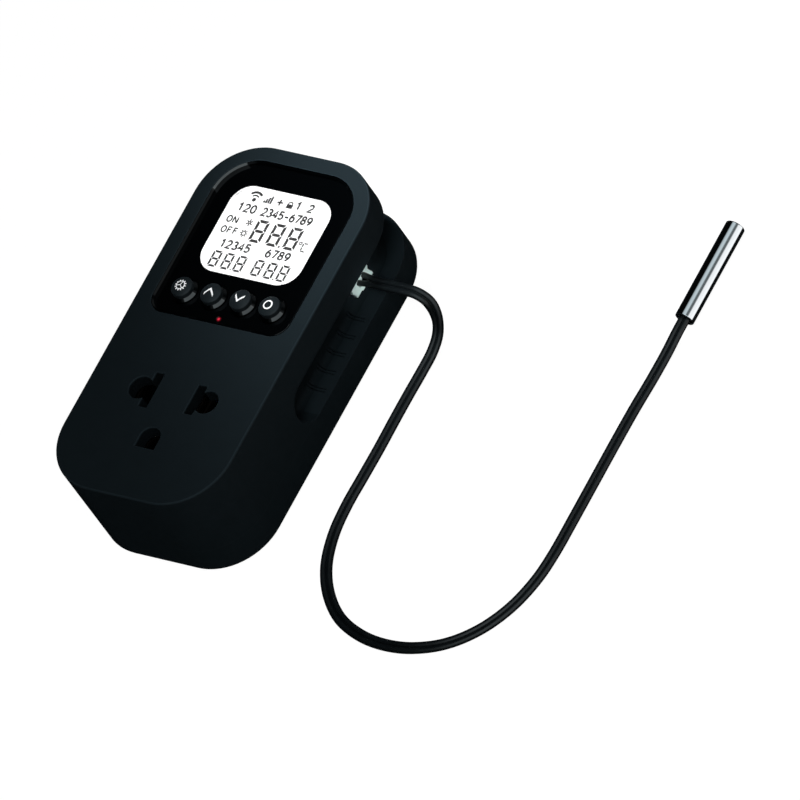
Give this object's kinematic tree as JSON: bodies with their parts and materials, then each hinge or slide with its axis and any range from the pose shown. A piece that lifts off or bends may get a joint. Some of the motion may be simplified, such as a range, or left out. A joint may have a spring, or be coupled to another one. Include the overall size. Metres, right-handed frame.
{
  "type": "plug in temperature controller",
  "caption": "Wall plug body with a pass-through socket, lit display, four keys and a probe on a flat lead; switches the socket by temperature.",
  "frame": {"origin": "midway between the two plug blades, on the flat rear plane, directly behind the centre of the socket", "axes": "+Z out of the front face, opposite to the plug's blades; +Y from the socket up to the display; +X towards the side with the sensor connector"},
  "size_m": [0.1251, 0.1239, 0.0503],
  "materials": {
    "housing_plastic": "fine matt moulded",
    "panel_plastic": "polished",
    "window_lens": "clear",
    "display_glass": "satin",
    "backlight_diffuser": "satin",
    "key_plastic": "satin",
    "switch_stem": "moulded",
    "switch_can": "stamped",
    "red_light": "clear red",
    "circuit_board": "solder mask",
    "black_moulding": "moulded",
    "relay_case": "moulded",
    "ferrite": "sintered",
    "winding_tape": "wound tape",
    "fuse_case": "moulded",
    "carrier_plastic": "moulded",
    "contact_bronze": "rolled strip",
    "blade_brass": "polished",
    "connector_nylon": "moulded",
    "tinned_pin": "tinned",
    "cord_jacket": "extruded",
    "probe_steel": "polished stainless",
    "potting": "cured resin",
    "screw_steel": "zinc plated"
  },
  "bodies": {
    "controller": {"housing": "housing_plastic", "rear_cover": "housing_plastic", "fascia": "panel_plastic", "display_window": "window_lens", "lcd_glass": "display_glass", "lcd_backlight": "backlight_diffuser", "key_switches": "switch_can", "radio_module": "switch_can", "indicator_led": "red_light", "light_pipe": "red_light", "display_board": "circuit_board", "power_board": "circuit_board", "sensor_board": "circuit_board", "board_link": "black_moulding", "smoothing_capacitor": "black_moulding", "relay": "relay_case", "varistor": "relay_case", "transformer_core": "ferrite", "transformer_winding": "winding_tape", "film_capacitor": "winding_tape", "fuse": "fuse_case", "socket_carrier": "carrier_plastic", "live_contact": "contact_bronze", "neutral_contact": "contact_bronze", "earth_contact": "contact_bronze", "live_blade": "blade_brass", "neutral_blade": "blade_brass", "earth_pin": "blade_brass", "sensor_header": "connector_nylon", "header_pins": "tinned_pin", "housing_screws": "screw_steel", "board_screws": "screw_steel"},
    "settings_key": {"settings_key": "key_plastic", "settings_stem": "switch_stem"},
    "up_key": {"up_key": "key_plastic", "up_stem": "switch_stem"},
    "down_key": {"down_key": "key_plastic", "down_stem": "switch_stem"},
    "power_key": {"power_key": "key_plastic", "power_stem": "switch_stem"},
    "sensor_lead": {"sensor_plug": "connector_nylon", "plug_contacts": "contact_bronze", "sensor_cable": "cord_jacket", "probe_sleeve": "probe_steel", "probe_seal": "potting", "thermistor": "potting"}
  },
  "joints": [
    {"name": "settings_key_press", "type": "slide", "parent": "controller", "child": "settings_key", "axis": [0, 0, -1], "range_m": [0, 0.0004], "stiffness_N_per_m": 600},
    {"name": "up_key_press", "type": "slide", "parent": "controller", "child": "up_key", "axis": [0, 0, -1], "range_m": [0, 0.0004], "stiffness_N_per_m": 600},
    {"name": "down_key_press", "type": "slide", "parent": "controller", "child": "down_key", "axis": [0, 0, -1], "range_m": [0, 0.0004], "stiffness_N_per_m": 600},
    {"name": "power_key_press", "type": "slide", "parent": "controller", "child": "power_key", "axis": [0, 0, -1], "range_m": [0, 0.0004], "stiffness_N_per_m": 600},
    {"name": "sensor_unplug", "type": "slide", "parent": "controller", "child": "sensor_lead", "axis": [1, 0, 0], "range_m": [0, 0.0064]}
  ]
}
